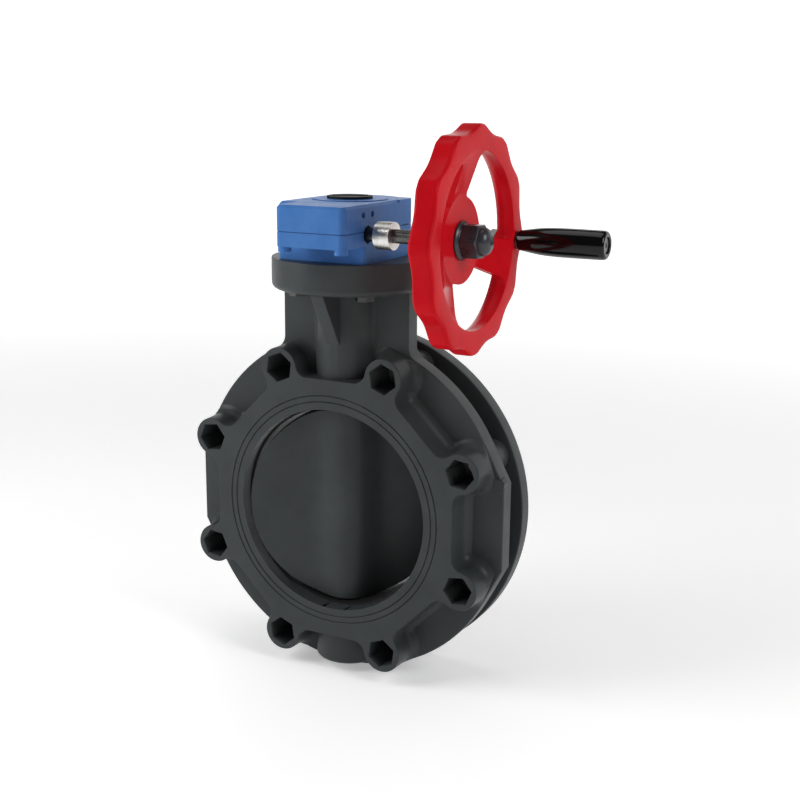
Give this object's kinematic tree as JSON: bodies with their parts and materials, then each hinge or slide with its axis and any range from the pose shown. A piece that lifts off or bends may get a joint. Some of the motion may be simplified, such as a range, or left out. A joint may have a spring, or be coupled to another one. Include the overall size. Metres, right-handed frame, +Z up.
{
  "type": "butterfly valve",
  "caption": "Lug-style plastic butterfly valve with a worm gearbox, a lobed handwheel and a turning crank handle.",
  "frame": {"origin": "where the stem axis crosses the pipe axis, in the middle of the disc", "axes": "+Z up along the stem, Y along the pipe with the lugged face towards -Y, +X along the input shaft towards the handwheel"},
  "size_m": [0.4148, 0.2234, 0.5449],
  "materials": {
    "body_pvc": "moulded dark grey PVC, satin",
    "black_rubber": "moulded EPDM",
    "bearing_bronze": "machined bearing bronze",
    "stainless_steel": "turned stainless steel",
    "dark_steel": "oiled carbon steel",
    "blue_paint": "satin blue enamel on a casting",
    "gasket": "graphite fibre gasket",
    "black_plastic": "moulded black plastic",
    "red_paint": "gloss red enamel on a casting"
  },
  "bodies": {
    "housing": {"valve_body": "body_pvc", "seat_liner": "black_rubber", "upper_bush": "bearing_bronze", "lower_bush": "bearing_bronze", "stem_seals": "black_rubber", "bottom_plug": "body_pvc", "lug_inserts": "stainless_steel", "pad_bolts": "stainless_steel", "gearbox_base": "blue_paint", "cover_gasket": "gasket", "gearbox_cover": "blue_paint", "cover_screws": "stainless_steel", "stop_screws": "stainless_steel", "stop_nuts": "stainless_steel", "worm_bushes": "bearing_bronze", "shaft_seal": "black_rubber", "indicator_seal": "black_rubber"},
    "disc_set": {"disc": "body_pvc", "stem": "stainless_steel", "worm_wheel": "bearing_bronze", "stem_key": "stainless_steel", "indicator_cap": "black_plastic"},
    "wheel_set": {"input_shaft": "dark_steel", "worm": "dark_steel", "worm_pin": "dark_steel", "shaft_collar": "stainless_steel", "collar_screw": "dark_steel", "handwheel": "red_paint", "wheel_key": "stainless_steel", "wheel_washer": "black_plastic", "cap_nut": "black_plastic", "handle_spindle": "dark_steel", "handle_nut": "stainless_steel", "handle_screw": "dark_steel"},
    "grip": {"handle_grip": "black_plastic"}
  },
  "joints": [
    {"name": "disc_turn", "type": "hinge", "parent": "housing", "child": "disc_set", "pos_m": [0, 0, 0], "axis": [0, 0, 1], "range_deg": [-26, 64]},
    {"name": "handwheel_turn", "type": "hinge", "parent": "housing", "child": "wheel_set", "pos_m": [0.148, -0.048, 0.273], "axis": [1, 0, 0], "range_deg": [-832, 2048]},
    {"name": "grip_spin", "type": "hinge", "parent": "wheel_set", "child": "grip", "pos_m": [0.2, 0.03914, 0.2663], "axis": [1, 0, 0], "continuous": true}
  ],
  "couplings": [
    {"joint": "handwheel_turn", "follows": "disc_turn", "ratio": 32}
  ]
}
